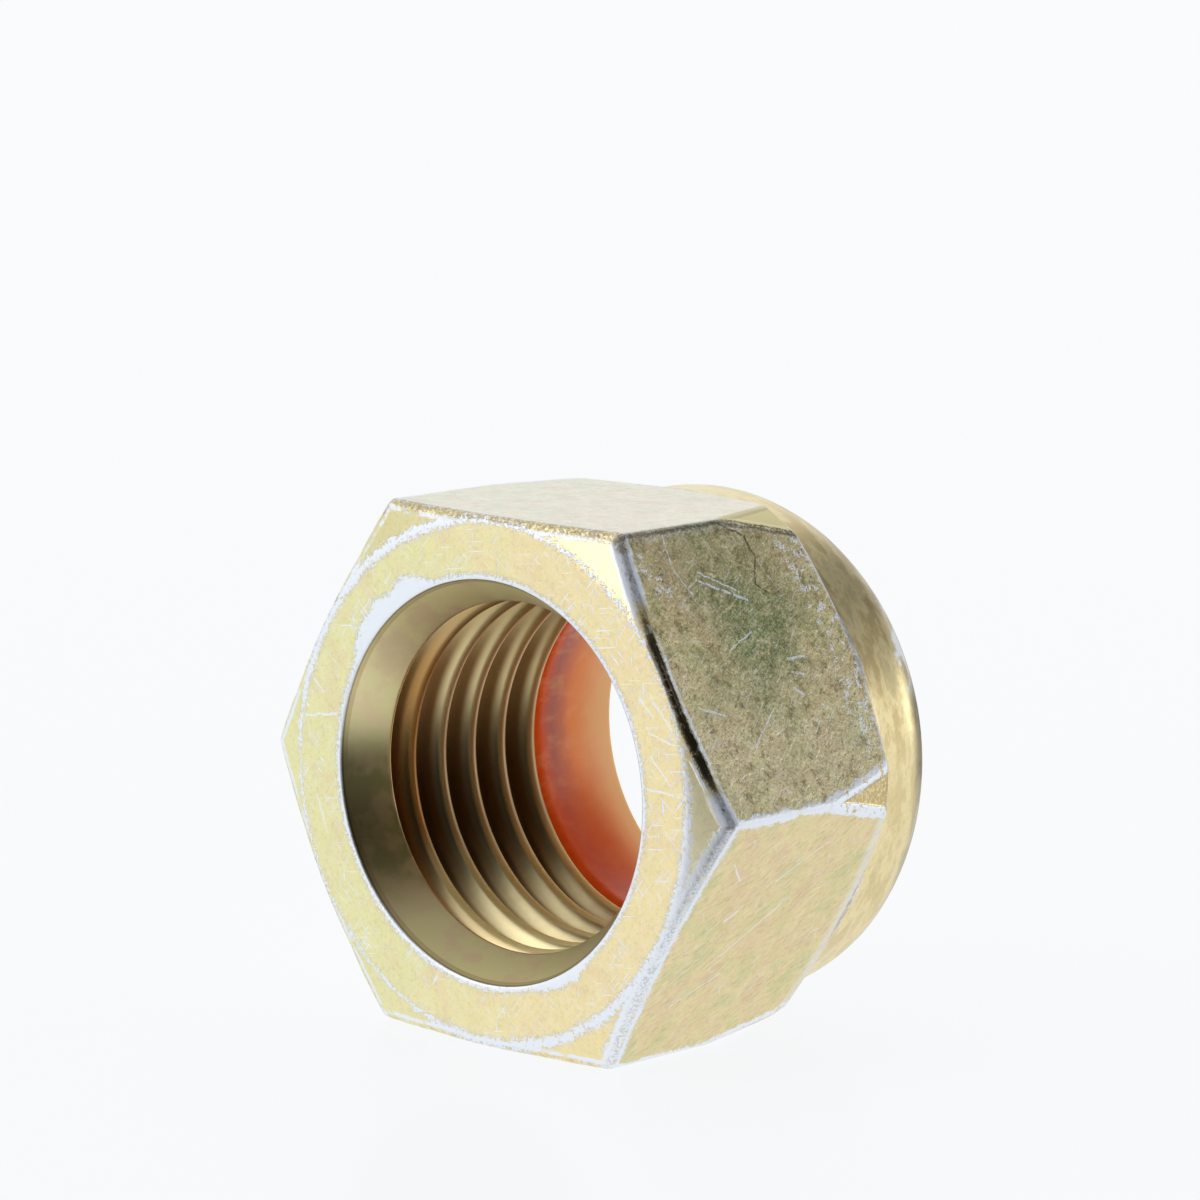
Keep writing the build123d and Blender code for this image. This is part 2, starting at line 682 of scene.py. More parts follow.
    def blend(self, share: object, under: object, over: object) -> Socket:
        """Lay one number over another, share being how much of the upper shows."""
        made = self.node("ShaderNodeMix", (share, None, under, over), data_type="FLOAT")
        return made.outputs[0]

    def ramp(self, value: object, stops: list[tuple[float, Colour]]) -> Socket:
        """Colour that runs through several stops.

        Args:
            value: number from 0 to 1.
            stops: places and colours in order.

        Returns:
            The colour.
        """
        made = self.node("ShaderNodeValToRGB", (value,))
        elements = made.color_ramp.elements
        while len(elements) < len(stops):
            elements.new(0.5)
        for element, (place, colour) in zip(elements, stops):
            element.position, element.color = place, colour
        return made.outputs[0]

    def finish(self, shader: Socket) -> None:
        """Send the shader to the material's surface."""
        self.node("ShaderNodeOutputMaterial", (shader,))

    def surface(self, colour: Socket, rough: Socket, relief: Socket, others: dict[str, object]) -> None:
        """Finish with the standard surface.

        Args:
            colour: its colour.
            rough: its roughness.
            relief: its height in millimetres.
            others: further inputs of the shader, by name.
        """
        bump, shader = self.node("ShaderNodeBump"), self.node("ShaderNodeBsdfPrincipled")
        heights = {"Strength": 1.0, "Distance": MM, "Height": relief}
        inputs = {"Base Color": colour, "Roughness": rough, "Normal": bump.outputs[0], **others}
        for made, values in ((bump, heights), (shader, inputs)):
            for name, value in values.items():
                self.feed(made.inputs[name], value)
        self.finish(shader.outputs[0])


def new_material(name: str) -> tuple[bpy.types.Material, Graph]:
    """Start a material.

    Args:
        name: its name.

    Returns:
        The material and the empty graph of its nodes.
    """
    made = bpy.data.materials.new(name)
    made.use_nodes = True
    return made, Graph(made.node_tree)


@dataclass(frozen=True)
class Stroke:
    """One straight mark, in millimetres on a flat or on the bearing face."""

    start: tuple[float, float]
    end: tuple[float, float]
    width: float = 0.10

    def mask(self, g: Graph, spot: Socket) -> Socket:
        """Number from 0 to 1, one on the mark.

        Args:
            g: the material's graph.
            spot: the surface's own two coordinates as a vector.

        Returns:
            The mask.
        """
        run = Vector(self.end) - Vector(self.start)
        from_start = g.vector_math("SUBTRACT", spot, (*self.start, 0.0)).outputs[0]
        along = g.vector_math("DOT_PRODUCT", from_start, (*(run / run.length_squared), 0.0)).outputs["Value"]
        held = g.node("ShaderNodeClamp", (along,)).outputs[0]
        foot = g.vector_math("MULTIPLY", g.vector(held, held), (*run, 0.0)).outputs[0]
        away = g.vector_math("DISTANCE", from_start, foot).outputs["Value"]
        return g.step(away, self.width, 0.4 * self.width)


class Site:
    """Where a point of the nut lies, as numbers in millimetres that a finish can use.

    The y coordinate counts from the bearing face. The radius is the distance from the thread's
    axis, and turn the angle about it in degrees. From the axis, out is the distance towards the
    nearest flat, along is the place across that flat, and corner the distance from its nearest long
    edge. The masks upper_flat and lower_flat are one on the two flats on the right. The others are
    distances from the flats, from the edges of chamfer and shoulder, and from the leaning corners.
    """

    def __init__(self, g: Graph) -> None:
        """Work out the nut's own coordinates.

        Args:
            g: the material's graph.
        """
        nut = NutBody()
        half_flats = nut.across_flats / 2 / MM
        chamfer = math.tan(math.radians(nut.face_chamfer_angle))
        slope = math.tan(math.radians(nut.shoulder_angle))
        low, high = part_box("nut_body")
        scaled = g.node("ShaderNodeMapping", (g.node("ShaderNodeTexCoord").outputs["Object"],))
        scaled.inputs["Location"].default_value = (0, -low.y / MM, -(low.z + high.z) / 2 / MM)
        scaled.inputs["Scale"].default_value = (1 / MM, 1 / MM, 1 / MM)
        self.place = scaled.outputs[0]
        self.x, self.y, self.z = g.node("ShaderNodeSeparateXYZ", (self.place,)).outputs
        self.radius = g.math("SQRT", g.add(g.mul(self.x, self.x), g.mul(self.z, self.z)))
        self.turn = g.math("DEGREES", g.math("ARCTAN2", self.z, self.x))
        # the three pairs of flats
        side, half = math.cos(math.radians(30)), 0.5
        wide, narrow = g.mul(self.x, side), g.mul(self.z, half)
        tall, short = g.mul(self.z, side), g.mul(self.x, half)
        upper, lower = g.add(wide, narrow), g.sub(wide, narrow)
        top, first, second = g.size(self.z), g.size(upper), g.size(lower)
        self.out = g.most(top, first, second)
        middle = g.sub(g.sub(g.add(top, first, second), self.out), g.least(top, first, second))
        self.corner = g.math("DIVIDE", g.sub(self.out, middle), side)
        on_top = g.math("GREATER_THAN", top, g.most(first, second))
        on_first = g.math("GREATER_THAN", first, second)
        self.along = g.blend(on_top, g.blend(on_first, g.add(tall, short), g.sub(tall, short)), self.x)
        depth = g.blend(on_top, g.blend(on_first, lower, upper), self.z)
        self.flat_spot = g.vector(self.along, self.y, depth)
        self.face_spot = g.vector(self.x, self.z)
        in_view = g.math("GREATER_THAN", self.x, 0.0)
        beside = g.mul(in_view, g.sub(1.0, on_top))
        self.upper_flat = g.mul(beside, on_first)
        self.lower_flat = g.mul(beside, g.sub(1.0, on_first))
        # distances from the edges
        self.off_flat = g.sub(half_flats, self.out)
        self.front_edge = g.sub(self.y, g.mul(g.sub(self.radius, nut.face_radius / MM), chamfer))
        inward = g.most(g.sub(nut.tapered_radius / MM, self.radius), 0.0)
        self.far_edge = g.size(g.sub(self.y, g.add(nut.hexagon_length / MM, g.mul(inward, slope))))
        lost = g.mul(g.sub(self.y, nut.taper_start / MM), nut.taper)
        self.off_taper = g.sub(g.sub(nut.corner_radius / MM, lost), self.radius)

    def around(self, g: Graph, reach: float, along: float) -> Socket:
        """Coordinates that draw a pattern out around the thread's axis, without a seam.

        Args:
            g: the material's graph.
            reach: radius of the circle that the pattern is read on.
            along: scale along the axis.

        Returns:
            The coordinates.
        """
        share = g.math("DIVIDE", reach, self.radius)
        return g.vector(g.mul(self.x, share), g.mul(self.z, share), g.mul(self.y, along))


class Coat:
    """Colour of a surface, built up in thin layers."""

    def __init__(self, g: Graph, colour: object) -> None:
        """Start from one colour all over.

        Args:
            g: the material's graph.
            colour: the first colour.
        """
        self.g, self.colour = g, colour

    def lay(self, over: Colour, *shares: object) -> None:
        """Lay a colour on, showing by the product of its shares."""
        self.colour = self.g.mix(self.g.mul(*shares), self.colour, over)


class SteelSurface:
    """Patterns and regions of the steel body that its finish is made from."""

    def __init__(self, g: Graph) -> None:
        """Work out the patterns, the regions and the distances from the edges.

        Args:
            g: the material's graph.
        """
        self.g, self.at = g, Site(g)
        at, step, mul, noisy = self.at, g.step, g.mul, g.noise
        # patterns
        self.broad = noisy(at.place, 0.16, 2, 0.5)
        self.cloud = noisy(at.place, 0.38, 3, 0.55)
        self.fine = noisy(at.place, 1.9, 4, 0.62)
        self.sand = noisy(at.place, 4.2, 4, 0.75)
        self.grit = noisy(at.place, 6.5, 2, 0.6)
        self.grain = noisy(g.slant(at.flat_spot, 50, 2.6), 3.4, 4, 0.7)
        self.dust = g.add(mul(self.fine, 0.5), mul(self.sand, 0.5))
        self.flecked = mul(g.sub(self.sand, 0.5), 2.2)
        self.ragged = g.add(mul(g.sub(noisy(at.place, 0.8, 3, 0.7), 0.5), 2.2), g.sub(self.grit, 0.5))
        # regions, one inside and zero outside
        self.outside = step(at.radius, 13.6, 13.9)
        self.in_bore = mul(step(at.radius, 14.2, 13.9), step(at.y, 0.06, 0.14), step(at.y, 25.5, 25.0))
        self.threaded = mul(self.in_bore, step(g.add(at.radius, mul(at.y, 0.577)), 13.80, 13.95))
        self.on_face = mul(step(at.y, 0.12, 0.06), step(at.radius, 13.6, 13.7))
        on_side = mul(step(at.out, 17.70, 17.85), step(at.far_edge, 0.0, 0.2), step(at.y, 19.2, 19.1))
        self.on_flat = mul(on_side, step(at.front_edge, 0.15, 0.4))
        self.upper = mul(self.on_flat, at.upper_flat)
        self.lower = mul(self.on_flat, at.lower_flat)
        self.by_edge = mul(step(at.radius, 17.6, 17.8), step(at.y, 2.2, 1.9), step(at.out, 16.6, 16.9))
        self.on_top_edge = mul(self.by_edge, step(at.z, 16.6, 17.0))
        self.upper_edge = g.band(at.turn, 60.0, 9.0, 5.0)
        self.corner_facet = mul(
            step(g.size(at.off_taper), 0.10, 0.05), step(at.y, 10.6, 12.0), step(at.y, 18.6, 18.2)
        )
        # how far off the front edges, and off the edges of the far corner facets
        self.edge_gap = g.most(at.front_edge, at.off_flat)
        self.taper_gap = g.most(mul(at.off_taper, 2.0), mul(at.off_flat, 2.2))

    def torn(self, value: object, share: float, start: float, end: float) -> Socket:
        """Smooth step of a number along a ragged line, share being how ragged."""
        return self.g.step(self.g.add(value, self.g.mul(self.ragged, share)), start, end)

    def torn_band(self, value: object, share: float, centre: float, half: float, soft: float) -> Socket:
        """Band of a number along a ragged line, share being how ragged."""
        return self.g.band(self.g.add(value, self.g.mul(self.ragged, share)), centre, half, soft)


@dataclass(frozen=True)
class PlatedSteel:
    """Yellow zinc plate with its rainbow tints, worn to bright zinc along the edges."""

    name: str = "yellow_zinc_plate"
    gold: Colour = (0.87, 0.84, 0.46, 1.0)
    warm_gold: Colour = (0.95, 0.81, 0.46, 1.0)
    pink_gold: Colour = (0.86, 0.66, 0.45, 1.0)
    green_gold: Colour = (0.68, 0.73, 0.38, 1.0)
    brown_gold: Colour = (0.50, 0.38, 0.17, 1.0)
    pale_gold: Colour = (0.92, 0.88, 0.62, 1.0)
    cone_gold: Colour = (0.76, 0.71, 0.38, 1.0)
    highlight_gold: Colour = (0.98, 0.89, 0.52, 1.0)
    stain: Colour = (0.14, 0.24, 0.10, 1.0)
    dark_olive: Colour = (0.20, 0.17, 0.075, 1.0)
    thread_gold: Colour = (0.68, 0.56, 0.30, 1.0)
    crest_sheen: Colour = (0.58, 0.44, 0.27, 1.0)
    crest_orange: Colour = (0.46, 0.24, 0.07, 1.0)
    root_shade: Colour = (0.24, 0.13, 0.045, 1.0)
    black_shade: Colour = (0.07, 0.035, 0.014, 1.0)
    zinc: Colour = (0.88, 0.92, 0.98, 1.0)
    grime_and_shade: Colour = (0.10, 0.08, 0.05, 1.0)
    # how far the drawn marks stray, and each set of hairs: turn, length, width and share
    shake: float = 0.32
    face_hairs: tuple[tuple[float, ...], ...] = (
        (52, 1.3, 0.08, 0.50),
        (-38, 0.9, 0.08, 0.48),
        (8, 1.6, 0.08, 0.42),
        (95, 0.8, 0.09, 0.46),
    )
    flat_hairs: tuple[tuple[float, ...], ...] = (
        (48, 1.3, 0.07, 0.34),
        (66, 0.7, 0.07, 0.38),
        (-30, 0.6, 0.07, 0.34),
    )
    face_marks: tuple[Stroke, ...] = (
        Stroke((-17.2, 2.3), (-14.1, 2.8), 0.13),
        Stroke((13.3, 7.6), (14.6, 6.5)),
        Stroke((14.6, 7.5), (16.3, 5.8)),
        Stroke((13.5, 1.75), (16.9, 1.6)),
        Stroke((14.2, 5.4), (16.6, 4.9), 0.07),
        Stroke((14.4, 3.9), (16.2, 2.2), 0.08),
        Stroke((-15.9, -3.1), (-14.9, -5.6), 0.08),
        Stroke((-16.6, 5.2), (-15.4, 4.2), 0.08),
    )
    upper_marks: tuple[Stroke, ...] = (
        Stroke((6.4, 6.6), (4.5, 10.6), 0.13),
        Stroke((6.9, 7.0), (5.1, 10.2), 0.08),
        Stroke((9.8, 5.0), (7.4, 4.8), 0.09),
        Stroke((7.4, 4.8), (5.2, 5.8), 0.09),
        Stroke((0.0, 12.3), (0.0, 14.0), 0.13),
        Stroke((-2.0, 11.8), (-2.6, 12.5), 0.14),
        Stroke((-0.9, 12.3), (-1.2, 13.3), 0.12),
        Stroke((-2.2, 2.1), (-3.0, 4.3), 0.13),
        Stroke((1.3, 7.2), (2.3, 9.9), 0.06),
        Stroke((-5.4, 6.0), (-3.1, 9.2), 0.06),
    )
    # painted shadow line of the forging's unevenness near the upper flat's top
    shadow_line_marks: tuple[Stroke, ...] = (
        Stroke((9.9, 10.8), (8.95, 12.7), 0.12),
        Stroke((8.95, 12.7), (7.35, 13.0), 0.15),
        Stroke((7.35, 13.0), (5.5, 12.0), 0.13),
        Stroke((5.5, 12.0), (4.8, 12.8), 0.09),
    )
    lower_marks: tuple[Stroke, ...] = (
        Stroke((1.6, 5.4), (2.3, 6.3), 0.13),
        Stroke((-1.7, 7.0), (2.6, 11.5), 0.07),
        Stroke((4.4, 8.9), (7.1, 12.8), 0.06),
        Stroke((6.8, 3.3), (5.1, 4.9), 0.08),
        Stroke((-5.5, 4.1), (-3.4, 8.0), 0.06),
    )

    def marks(self, g: Graph, strokes: tuple[Stroke, ...], spot: Socket, where: Socket) -> Socket:
        """Several strokes on one surface, their lines a little shaken.

        Args:
            g: the material's graph.
            strokes: the marks.
            spot: the surface's own coordinates.
            where: one on that surface.

        Returns:
            The mask of them all.
        """
        shaken = g.node("ShaderNodeTexNoise", (spot,))
        shaken.inputs["Scale"].default_value = 1.6
        shaken.inputs["Detail"].default_value = 4.0
        off_line = g.vector_math("SUBTRACT", shaken.outputs["Color"], (0.5, 0.5, 0.5)).outputs[0]
        moved = g.vector_math("MULTIPLY_ADD", off_line, (self.shake, self.shake, 0), spot).outputs[0]
        flattened = g.vector_math("MULTIPLY", moved, (1, 1, 0)).outputs[0]
        return g.mul(where, g.most(*(stroke.mask(g, flattened) for stroke in strokes)))

    def tints(self, s: SteelSurface) -> Coat:
        """Gold of the plate with its rainbow tints, and the top flat painted paler as light.

        Args:
            s: the steel's patterns and regions.

        Returns:
            The coat that the other layers go on.
        """
        g, at, step, mul = s.g, s.at, s.g.step, s.g.mul
        sideways = g.add(mul(at.x, 0.8), mul(g.size(at.z), 0.5), mul(g.sub(s.cloud, 0.5), 16.0))
        coat = Coat(g, g.mix(step(sideways, -2.0, 14.0), self.gold, self.warm_gold))
        coat.lay(self.pink_gold, s.on_face, step(s.cloud, 0.50, 0.64), 0.30)
        near_front = mul(step(at.radius, 17.6, 17.9), step(at.y, 2.4, 1.8))
        coat.lay(self.brown_gold, near_front, g.band(at.turn, 120.0, 8.0, 8.0), 0.30)
        coat.lay(self.pale_gold, near_front, g.band(at.turn, 0.0, 8.0, 8.0), 0.60)
        rainbow = g.noise(at.flat_spot, 0.34, 5, 0.6)
        coat.lay(self.pink_gold, s.on_flat, step(rainbow, 0.47, 0.64), 0.60)
        coat.lay(self.green_gold, s.on_flat, step(rainbow, 0.52, 0.36), 0.60)
        # painted light: the top flat made paler, towards zinc, where it faces the lights above
        coat.lay(self.zinc, s.on_flat, step(at.z, 17.0, 17.5), g.add(0.25, mul(s.fine, 0.5)))
        speckle = mul(g.blend(s.upper, s.sand, s.grain), 0.5)
        tone = g.add(mul(g.noise(at.flat_spot, 0.60, 6, 0.75), 0.5), speckle)
        strength = g.add(0.16, mul(s.on_flat, 0.12), mul(s.upper, 0.52))
        coat.lay(self.brown_gold, strength, step(tone, 0.40, 0.62))
        coat.lay(self.brown_gold, s.lower, 0.22)
        coat.lay(self.pale_gold, strength, step(s.grain, 0.50, 0.68), 0.7)
        coat.lay(self.dark_olive, strength, step(s.grain, 0.50, 0.34), 0.7)
        coat.lay(self.dark_olive, strength, step(s.sand, 0.42, 0.32), 0.8)
        return coat

    def upper_stain(self, s: SteelSurface, coat: Coat) -> None:
        """Green stain and dark blots of the upper right flat, with painted shade towards its top corner and
        painted light towards its lower end.

        Args:
            s: the steel's patterns and regions.
            coat: the colour so far.
        """
        g, at, step, mul = s.g, s.at, s.g.step, s.g.mul
        spot = g.vector(mul(at.along, 0.75), at.y)
        away = g.vector_math("DISTANCE", spot, (2.2, 10.0, 0)).outputs["Value"]
        green = step(g.add(away, mul(g.sub(s.cloud, 0.5), 8.0)), 7.6, 1.6)
        speckle = step(g.add(mul(s.grain, 0.5), mul(s.sand, 0.5)), 0.62, 0.40)
        coat.lay(self.stain, s.upper, green, g.add(0.25, mul(speckle, 0.75)), 0.9)
        blot = g.noise(at.flat_spot, 1.0, 5, 0.72)
        for colour, pattern, start, end, share in (
            # painted shade towards the flat's top corner and painted light towards its lower end
            (self.dark_olive, at.along, 2.0, 9.0, 0.22),
            (self.pale_gold, at.along, 2.0, -7.0, 0.22),
            (self.dark_olive, blot, 0.48, 0.36, 0.65),
            (self.pale_gold, blot, 0.54, 0.66, 0.50),
            (self.pale_gold, s.grit, 0.57, 0.66, 0.45),
            (self.dark_olive, s.grit, 0.42, 0.33, 0.55),
        ):
            coat.lay(colour, s.upper, step(pattern, start, end), share)

    def hole(self, s: SteelSurface, coat: Coat) -> tuple[Socket, Socket]:
        """Countersink and thread, with painted highlights and shade on the cone and crests, and painted shade
        in the roots.

        Args:
            s: the steel's patterns and regions.
            coat: the colour so far.

        Returns:
            The masks of the crests and of the painted shade in the roots.
        """
        g, at, step, band, mul = s.g, s.at, s.g.step, s.g.band, s.g.mul
        climb = g.add(180.0, g.math("DEGREES", g.math("ARCTAN2", at.z, mul(at.x, -1.0))))
        turns = g.sub(g.math("DIVIDE", g.add(at.y, 3.6), 3.0), g.math("DIVIDE", climb, 360.0))
        # the cone, with a painted highlight at its upper left, painted light at its bottom and painted shade
        # at its lower left
        coat.lay(self.cone_gold, s.in_bore)
        coat.lay(self.highlight_gold, s.in_bore, step(at.z, 1.0, 6.0), step(at.x, 2.0, -6.0), 0.8)
        coat.lay(self.highlight_gold, s.in_bore, step(at.z, -6.0, -11.0), 0.5)
        coat.lay(self.dark_olive, s.in_bore, band(at.z, -4.5, 2.5, 4.0), step(at.x, -2.0, -8.0), 0.55)
        coat.lay(self.pink_gold, s.in_bore, step(s.cloud, 0.46, 0.62), 0.55)
        coat.lay(self.brown_gold, s.in_bore, band(at.y, 0.34, 0.10, 0.05), 0.5)
        rim_line = mul(step(at.radius, 14.0, 13.9), step(at.radius, 13.4, 13.5))
        coat.lay(self.dark_olive, rim_line, band(at.y, 0.14, 0.05, 0.04), 0.7)
        # the thread, with painted shade in its roots, darkest low down and on its left, and browner towards
        # the top
        coat.lay(self.thread_gold, s.threaded, step(at.y, 2.9, 3.5))
        shade = g.add(0.15, mul(step(at.z, -9.5, -5.0), step(at.z, 11.0, 5.0), 0.85))
        deep_shade = g.most(mul(step(at.radius, 12.1, 12.7), shade), mul(step(at.radius, 12.75, 13.2), 0.85))
        root = mul(s.threaded, deep_shade, step(at.y, 3.0, 3.4))
        coat.lay(self.root_shade, root)
        lower_root_shade = mul(step(at.radius, 12.6, 13.2), band(at.z, -5.5, 2.5, 3.5))
        coat.lay(self.black_shade, s.threaded, lower_root_shade, 0.8)
        # painted highlight on the flanks at the bottom of the bore
        coat.lay(self.warm_gold, s.threaded, step(at.radius, 13.1, 12.7), step(at.z, -8.0, -11.0), 0.9)
        coat.lay(self.brown_gold, s.threaded, step(at.z, 7.0, 10.5), 0.55)
        coat.lay(self.root_shade, s.threaded, band(at.z, -3.0, 3.0, 4.0), step(at.x, 2.0, -4.0), 0.45)
        crest = mul(s.threaded, step(at.radius, 12.15, 12.0), step(at.y, 3.4, 3.6))
        # painted pinkish sheen on the crests, strongest at mid height
        coat.lay(self.crest_sheen, crest, shade, 0.35)
        first = mul(step(at.radius, 12.9, 12.3), band(turns, 2.5, 0.24, 0.10), step(at.y, 3.2, 3.4))
        seamless = mul(step(climb, 4.0, 50.0), step(climb, 356.0, 310.0))
        coat.lay(self.crest_orange, s.threaded, first, seamless, g.add(0.2, mul(shade, 0.7)))
        # painted highlight on the crests at the bottom of the bore
        coat.lay(self.highlight_gold, crest, step(at.z, -5.0, -9.0), 0.9)
        return crest, root

    def collar(self, s: SteelSurface, coat: Coat) -> None:
        """Far corner facets, with a painted highlight on the one at the top long edge, the collar's olive and
        brown streaks, and painted shade on its crimped dome.

        Args:
            s: the steel's patterns and regions.
            coat: the colour so far.
        """
        g, at, step, band, mul = s.g, s.at, s.g.step, s.g.band, s.g.mul
        dull = mul(g.sub(1.0, s.upper_edge), step(s.sand, 0.36, 0.52))
        coat.lay(self.brown_gold, s.corner_facet, dull, 0.85)
        # painted highlight on the corner facet at the top long edge
        coat.lay(self.highlight_gold, s.corner_facet, s.upper_edge, 0.9)
        collar = mul(step(at.y, 18.9, 19.4), s.outside)
        streaks = g.noise(at.around(g, 5.7, 0.9), 0.9, 5, 0.65)
        right, low_right = band(at.turn, 36.0, 18.0, 24.0), band(at.turn, -28.0, 14.0, 20.0)
        soiled = mul(collar, g.add(0.35, mul(right, 0.65), mul(low_right, 0.25)))
        coat.lay(self.brown_gold, soiled, step(streaks, 0.42, 0.60), 0.75)
        coat.lay(self.dark_olive, soiled, step(streaks, 0.50, 0.36), 0.35)
        # painted shade on the crimped dome, made streaky
        dome_shade = g.add(0.45, mul(step(streaks, 0.38, 0.56), 0.40))
        coat.lay(self.dark_olive, collar, step(at.y, 22.8, 24.8), dome_shade)

    def face_wear_and_highlight(self, s: SteelSurface) -> Socket:
        """Wear along the hole's rim, and a white band along the face's outer circle that is partly worn zinc
        and partly a painted highlight.

        Args:
            s: the steel's patterns and regions.

        Returns:
            The mask.
        """
        g, at, step, band, mul = s.g, s.at, s.g.step, s.g.band, s.g.mul
        wide_rim = g.add(band(at.turn, 132.0, 10.0, 12.0), mul(band(at.turn, -60.0, 4.0, 10.0), 0.4))
        rim_reach = g.add(14.0, mul(wide_rim, 1.1), mul(s.ragged, g.add(0.12, mul(wide_rim, 0.8))))
        rim = mul(s.on_face, step(g.add(g.sub(at.radius, rim_reach), s.flecked), 0.16, 0.04))
        # the outer circle's band: partly worn zinc, partly a painted highlight
        wide_ring = g.most(band(at.turn, 135.0, 22.0, 25.0), band(at.turn, -50.0, 40.0, 30.0))
        ring_half = g.add(0.05, mul(wide_ring, 0.26), mul(s.ragged, 0.30))
        off_ring = g.sub(g.size(g.sub(at.radius, 17.65)), ring_half)
        ring = mul(step(g.add(off_ring, s.flecked), 0.12, 0.0), step(at.y, 0.9, 0.6))
        return g.most(rim, mul(ring, step(at.radius, 16, 17)))

    def front_wear(self, s: SteelSurface) -> Socket:
        """Wear along the front edges of the flats.

        Args:
            s: the steel's patterns and regions.

        Returns:
            The mask.
        """
        g, at, step, band, mul = s.g, s.at, s.g.step, s.g.band, s.g.mul
        line = mul(s.torn_band(s.edge_gap, 0.20, 0.58, 0.10, 0.10), step(s.cloud, 0.38, 0.5))
        broad_gap = g.add(s.edge_gap, mul(s.ragged, 0.30), mul(s.flecked, 0.8))
        broad = mul(step(broad_gap, 0.95, 0.80), g.add(0.35, mul(step(s.dust, 0.42, 0.50), 0.65)))
        lower_side = mul(at.lower_flat, step(at.corner, 0.0, 0.6))
        patchy = mul(step(s.edge_gap, 0.7, 0.5), step(s.ragged, 0.15, 0.45))
        ends = g.most(band(at.along, 8.4, 2.2, 1.6), band(at.along, -9.4, 1.0, 1.0))
        blob = mul(s.torn(s.edge_gap, 0.25, 0.95, 0.65), step(s.edge_gap, 0.08, 0.16))
        blob = mul(at.upper_flat, ends, blob, step(at.corner, -0.2, 0.2))
        top = mul(step(s.edge_gap, 0.9, 0.6), step(s.sand, 0.50, 0.57))
        return g.most(
            mul(s.by_edge, g.most(line, patchy, blob, mul(lower_side, broad))), mul(s.on_top_edge, top)
        )

    def side_wear(self, s: SteelSurface) -> Socket:
        """Wear along the long edges and the far corner facets.

        Args:
            s: the steel's patterns and regions.

        Returns:
            The mask.
        """
        g, at, step, mul = s.g, s.at, s.g.step, s.g.mul
        sides = s.torn(at.corner, 0.55, 0.55, 0.33)
        sides = mul(sides, step(at.out, 17.3, 17.6), step(at.y, 12.5, 10.5))
        taper = s.torn_band(s.taper_gap, 0.35, 0.20, 0.20, 0.15)
        taper = mul(taper, step(at.y, 9.5, 11.5), step(at.y, 18.2, 17.9), step(s.fine, 0.34, 0.46))
        return mul(g.most(sides, taper), g.sub(1.0, mul(s.upper_edge, 0.85)))

    def far_wear(self, s: SteelSurface) -> Socket:
        """Wear along the far edges, with flakes beside them and near the scar.

        Args:
            s: the steel's patterns and regions.

        Returns:
            The mask.
        """
        g, at, step, band, mul = s.g, s.at, s.g.step, s.g.band, s.g.mul
        far = mul(s.torn(at.far_edge, 0.30, 0.40, 0.12), s.torn(at.off_flat, 0.15, 0.40, 0.20))
        soft = mul(s.lower, s.torn(at.far_edge, 0.25, 1.3, 0.5), 0.55)
        flakes = mul(step(g.noise(at.place, 1.5, 3, 0.6), 0.53, 0.58), step(s.grit, 0.40, 0.52))
        near_far = mul(band(at.far_edge, 1.3, 0.8, 1.1), step(at.along, -9.0, -4.0))
        by_scar = band(g.add(at.y, mul(at.along, 0.45)), 5.9, 0.35, 0.6)
        near_scar = mul(by_scar, band(at.along, 7.2, 1.6, 1.0))
        return g.most(mul(g.most(far, soft), 0.8), mul(s.upper, flakes, g.most(near_far, near_scar)))

    def lip_wear(self, s: SteelSurface) -> Socket:
        """Wear on the collar's lip and where the collar was rubbed.

        Args:
            s: the steel's patterns and regions.

        Returns:
            The mask.
        """
        g, at, step, band, mul = s.g, s.at, s.g.step, s.g.band, s.g.mul
        lip = mul(s.torn(at.y, 0.9, 25.3, 25.9), step(g.add(s.cloud, mul(s.flecked, 0.12)), 0.50, 0.58))
        rubbed = mul(band(at.turn, 33.0, 10.0, 8.0), band(at.y, 24.0, 0.6, 0.6))
        rubbed = mul(rubbed, s.torn(s.cloud, 0.08, 0.44, 0.54))
        return mul(s.outside, g.most(mul(lip, 0.5), mul(rubbed, 0.8)))

    def scratches(self, s: SteelSurface) -> Socket:
        """Fine hairs, and the marks that were placed one by one.

        Args:
            s: the steel's patterns and regions.

        Returns:
            The mask.
        """
        g, at, step, mul = s.g, s.at, s.g.step, s.g.mul
        beside = mul(s.on_face, g.band(at.turn, 28.0, 30.0, 25.0))
        dense = g.most(step(g.noise(at.place, 0.30, 2, 0.5), 0.46, 0.60), beside)
        across = g.most(*(g.hairs(at.face_spot, *hair) for hair in self.face_hairs))
        slanted = g.most(*(g.hairs(at.flat_spot, *hair) for hair in self.flat_hairs))
        on_face = mul(s.on_face, across, g.add(0.40, mul(dense, 0.80)))
        on_flat = mul(s.on_flat, slanted, g.add(0.15, mul(s.upper, 0.2), mul(dense, 0.5)))
        drawn = g.most(
            self.marks(g, self.face_marks, at.face_spot, mul(s.on_face, step(at.radius, 17.4, 17.2))),
            self.marks(g, self.upper_marks, at.flat_spot, s.upper),
            self.marks(g, self.lower_marks, at.flat_spot, s.lower),
        )
        broken = step(g.add(s.fine, mul(s.grit, 0.6)), 0.62, 0.78)
        return g.most(mul(g.most(on_face, on_flat), 0.9), mul(drawn, broken))

    def dirt_and_shade(self, s: SteelSurface, coat: Coat) -> Socket:
        """Dark pits and a dark band along the front edges, grime by the upper flat's top long edge, painted
        shade in the shoulder's corner and a painted shadow line on the upper flat.

        Args:
            s: the steel's patterns and regions.
            coat: the colour so far.

        Returns:
            The mask of the pits along the front edges.
        """
        g, at, step, band, mul = s.g, s.at, s.g.step, s.g.band, s.g.mul
